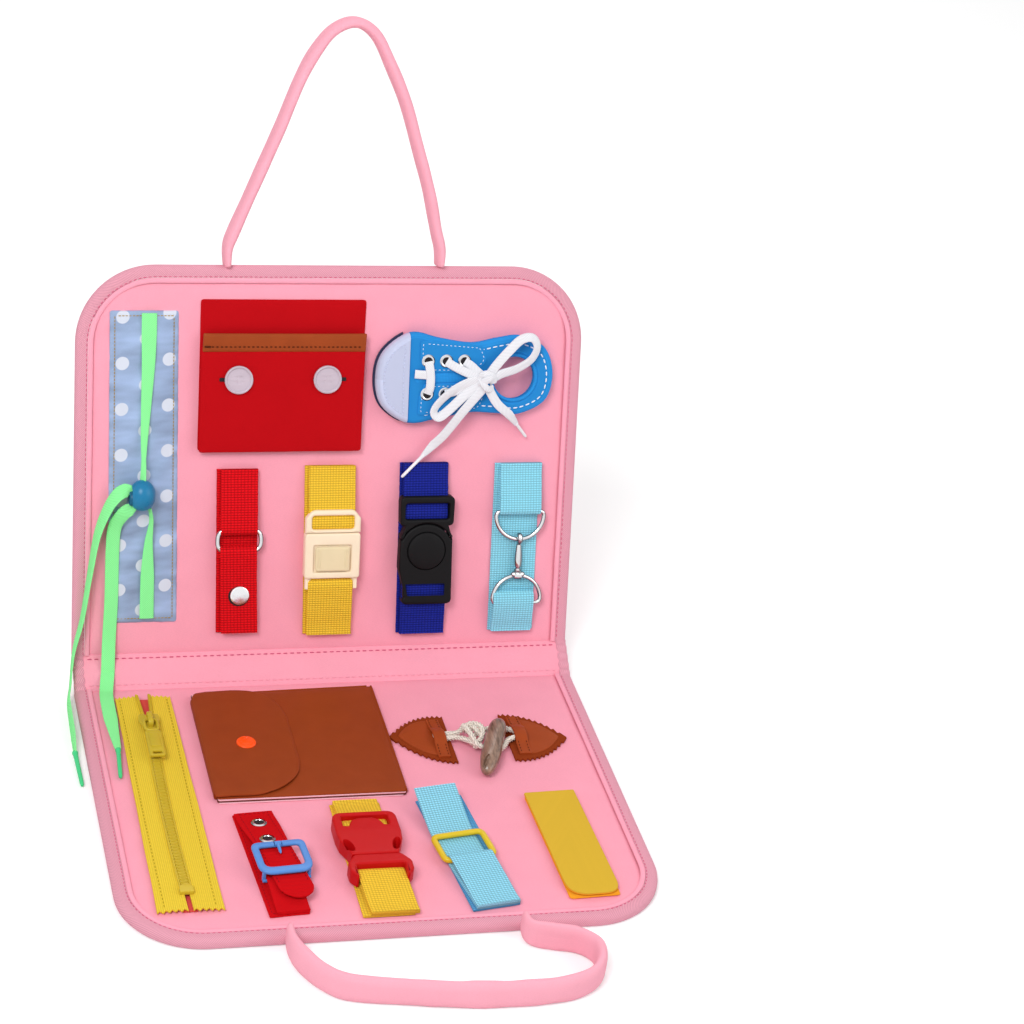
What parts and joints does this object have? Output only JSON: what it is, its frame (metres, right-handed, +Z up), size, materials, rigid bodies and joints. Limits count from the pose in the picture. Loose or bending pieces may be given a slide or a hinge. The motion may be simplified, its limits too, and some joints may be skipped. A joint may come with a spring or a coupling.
{
  "type": "busy board",
  "caption": "Folding pink cloth busy board: two padded panels with carry handles, sewn with a zip, pouches, lacing shoe, buckles, straps and rings.",
  "frame": {"origin": "middle of the lower panel's underside, where it lies on the floor", "axes": "+X to the board's right as it is used, +Y from the lower panel's outer edge towards the fold, +Z up from the floor"},
  "size_m": [0.3085, 0.4308, 0.3759],
  "materials": {
    "pink_cloth": "felt",
    "pink_binding": "twill tape",
    "zip_yellow": "woven tape",
    "zip_teeth": "moulded coil",
    "zip_metal": "olive yellow lacquer",
    "brown_leather": "smooth",
    "orange_plastic": "glossy",
    "cotton": "twisted cord",
    "horn": "streaked",
    "red_felt": "felt",
    "red_web": "ribbed webbing",
    "metal": "polished",
    "blue_plastic": "glossy",
    "yellow_web": "webbing",
    "red_plastic": "satin",
    "sky_web": "webbing",
    "yellow_plastic": "glossy",
    "yellow_felt": "brushed strip",
    "dotted": "satin with dots",
    "mint_lace": "flat woven lace",
    "teal_plastic": "satin",
    "button_white": "pearl",
    "blue_canvas": "canvas",
    "white_rubber": "smooth",
    "white_lace": "flat lace",
    "cream_plastic": "satin",
    "navy_web": "webbing",
    "black_plastic": "matt"
  },
  "bodies": {
    "lower_panel": {"lower_cover": "pink_cloth", "lower_page": "pink_cloth", "lower_binding": "pink_binding", "zipper_tapes": "zip_yellow", "zipper_teeth": "zip_teeth", "wallet_pocket": "brown_leather", "toggle_patches": "brown_leather", "toggle_cords": "cotton", "belt_straps": "red_felt", "belt_eyelets": "metal", "clip_straps": "yellow_web", "clip_socket": "red_plastic", "glide_straps": "sky_web", "peel_base": "yellow_felt", "lace_tail_a_low": "mint_lace", "lace_tail_b_low": "mint_lace"},
    "spine": {"spine_cloth": "pink_cloth"},
    "upper_panel": {"upper_cover": "pink_cloth", "upper_page": "pink_cloth", "upper_binding": "pink_binding", "dotted_patch": "dotted", "lace_strands": "mint_lace", "lace_tail_a_up": "mint_lace", "lace_tail_b_up": "mint_lace", "lock_body": "teal_plastic", "pouch_back": "red_felt", "shoe_upper": "blue_canvas", "shoe_cap": "white_rubber", "shoe_eyelets": "metal", "shoe_lace": "white_lace", "shoe_lace_ends": "white_lace", "snap_strap": "red_web", "catch_straps": "yellow_web", "catch_body": "cream_plastic", "click_straps": "navy_web", "click_body": "black_plastic", "hook_straps": "sky_web"},
    "zip_slider": {"zip_slider": "zip_metal"},
    "zip_pull": {"zip_pull": "zip_metal"},
    "wallet_flap": {"wallet_flap": "brown_leather", "wallet_snap": "orange_plastic"},
    "toggle": {"toggle": "horn"},
    "belt_buckle": {"belt_buckle": "blue_plastic"},
    "belt_prong": {"belt_prong": "blue_plastic"},
    "clip_plug": {"clip_plug": "red_plastic"},
    "loop_slider": {"loop_slider": "yellow_plastic"},
    "peel_top": {"peel_top": "yellow_felt"},
    "lower_handle": {"lower_handle": "pink_cloth"},
    "upper_handle": {"upper_handle": "pink_cloth"},
    "lock_plunger": {"lock_plunger": "teal_plastic"},
    "pouch_flap": {"pouch_flap": "red_felt", "pouch_buttons": "button_white"},
    "strap_ring": {"strap_ring": "metal"},
    "snap_tail": {"snap_tail": "red_web"},
    "catch_tongue": {"catch_tongue": "cream_plastic"},
    "catch_button": {"catch_button": "cream_plastic"},
    "click_tongue": {"click_tongue": "black_plastic"},
    "click_button": {"click_button": "black_plastic"},
    "d_ring_top": {"d_ring_top": "metal"},
    "d_ring_low": {"d_ring_low": "metal"}
  },
  "joints": [
    {"name": "upper_fold", "type": "hinge", "parent": "spine", "child": "upper_panel", "pos_m": [0, 0.13176, 0.01831], "axis": [-1, 0, 0], "range_deg": [-50, 36.3], "deforming": ["lace_tail_a_up", "lace_tail_b_up"]},
    {"name": "spine_fold", "type": "hinge", "parent": "lower_panel", "child": "spine", "pos_m": [0, 0.115, 0.006], "axis": [-1, 0, 0], "range_deg": [-50, 36.3], "deforming": ["lace_tail_a_low", "lace_tail_b_low"]},
    {"name": "upper_handle_swing", "type": "hinge", "parent": "upper_panel", "child": "upper_handle", "pos_m": [0, 0.20156, 0.23768], "axis": [1, 0, 0], "range_deg": [0, 100]},
    {"name": "lower_handle_lift", "type": "hinge", "parent": "lower_panel", "child": "lower_handle", "pos_m": [0, -0.1152, 0.005], "axis": [-1, 0, 0], "range_deg": [0, 100]},
    {"name": "lock_press", "type": "slide", "parent": "upper_panel", "child": "lock_plunger", "axis": [1, 0, 0], "range_m": [0, 0.0025], "stiffness_N_per_m": 200, "springref_m": -0.001},
    {"name": "pouch_open", "type": "hinge", "parent": "upper_panel", "child": "pouch_flap", "pos_m": [-0.0308, 0.16399, 0.13554], "axis": [1, 0, 0], "range_deg": [0, 100]},
    {"name": "ring_swing", "type": "hinge", "parent": "upper_panel", "child": "strap_ring", "pos_m": [-0.0557, 0.1496, 0.09027], "axis": [-1, 0, 0], "range_deg": [0, 50]},
    {"name": "tail_peel", "type": "hinge", "parent": "strap_ring", "child": "snap_tail", "pos_m": [-0.0557, 0.14643, 0.08016], "axis": [-1, 0, 0], "range_deg": [0, 85]},
    {"name": "catch_slide", "type": "slide", "parent": "upper_panel", "child": "catch_tongue", "axis": [0, 0.299, 0.9542], "range_m": [0, 0.012], "deforming": ["catch_straps"]},
    {"name": "catch_press", "type": "slide", "parent": "upper_panel", "child": "catch_button", "axis": [0, 0.9542, -0.299], "range_m": [0, 0.001], "stiffness_N_per_m": 400, "springref_m": -0.001},
    {"name": "click_slide", "type": "slide", "parent": "upper_panel", "child": "click_tongue", "axis": [0, 0.299, 0.9542], "range_m": [0, 0.01], "deforming": ["click_straps"]},
    {"name": "click_press", "type": "slide", "parent": "upper_panel", "child": "click_button", "axis": [0, 0.9542, -0.299], "range_m": [0, 0.0012], "stiffness_N_per_m": 400, "springref_m": -0.001},
    {"name": "hook_swing", "type": "hinge", "parent": "upper_panel", "child": "d_ring_low", "pos_m": [0.1158, 0.13539, 0.04495], "axis": [1, 0, 0], "range_deg": [0, 90]},
    {"name": "ring_follow", "type": "hinge", "parent": "upper_panel", "child": "d_ring_top", "pos_m": [0.1158, 0.15184, 0.09743], "axis": [-1, 0, 0], "range_deg": [0, 36]},
    {"name": "zip_run", "type": "slide", "parent": "lower_panel", "child": "zip_slider", "axis": [0, -1, 0], "range_m": [0, 0.132], "deforming": ["zipper_teeth"]},
    {"name": "pull_flip", "type": "hinge", "parent": "zip_slider", "child": "zip_pull", "pos_m": [-0.112, 0.0735, 0.01325], "axis": [-1, 0, 0], "range_deg": [0, 150]},
    {"name": "wallet_open", "type": "hinge", "parent": "lower_panel", "child": "wallet_flap", "pos_m": [-0.0855, 0.1055, 0.0105], "axis": [0, -1, 0], "range_deg": [0, 150]},
    {"name": "toggle_turn", "type": "hinge", "parent": "lower_panel", "child": "toggle", "pos_m": [0.0807, 0.033, 0.006], "axis": [0, 0, -1], "range_deg": [0, 45], "deforming": ["toggle_cords"]},
    {"name": "buckle_lift", "type": "hinge", "parent": "lower_panel", "child": "belt_buckle", "pos_m": [-0.05789, -0.07164, 0.0098], "axis": [0.9976, 0.0698, 0], "range_deg": [0, 80], "deforming": ["belt_straps"]},
    {"name": "prong_lift", "type": "hinge", "parent": "belt_buckle", "child": "belt_prong", "pos_m": [-0.05949, -0.0487, 0.0154], "axis": [-0.9976, -0.0698, 0], "range_deg": [0, 90]},
    {"name": "plug_slide", "type": "slide", "parent": "lower_panel", "child": "clip_plug", "axis": [0, -1, 0], "range_m": [0, 0.014], "deforming": ["clip_straps"]},
    {"name": "loop_slide", "type": "slide", "parent": "lower_panel", "child": "loop_slider", "axis": [-0.1392, 0.9903, 0], "range_m": [0, 0.012], "deforming": ["glide_straps"]},
    {"name": "strip_peel", "type": "hinge", "parent": "lower_panel", "child": "peel_top", "pos_m": [0.105, -0.005, 0.0079], "axis": [-1, 0, 0], "range_deg": [0, 120]}
  ],
  "couplings": [
    {"joint": "spine_fold", "follows": "upper_fold", "ratio": 1},
    {"joint": "ring_follow", "follows": "hook_swing", "ratio": 0.4}
  ]
}
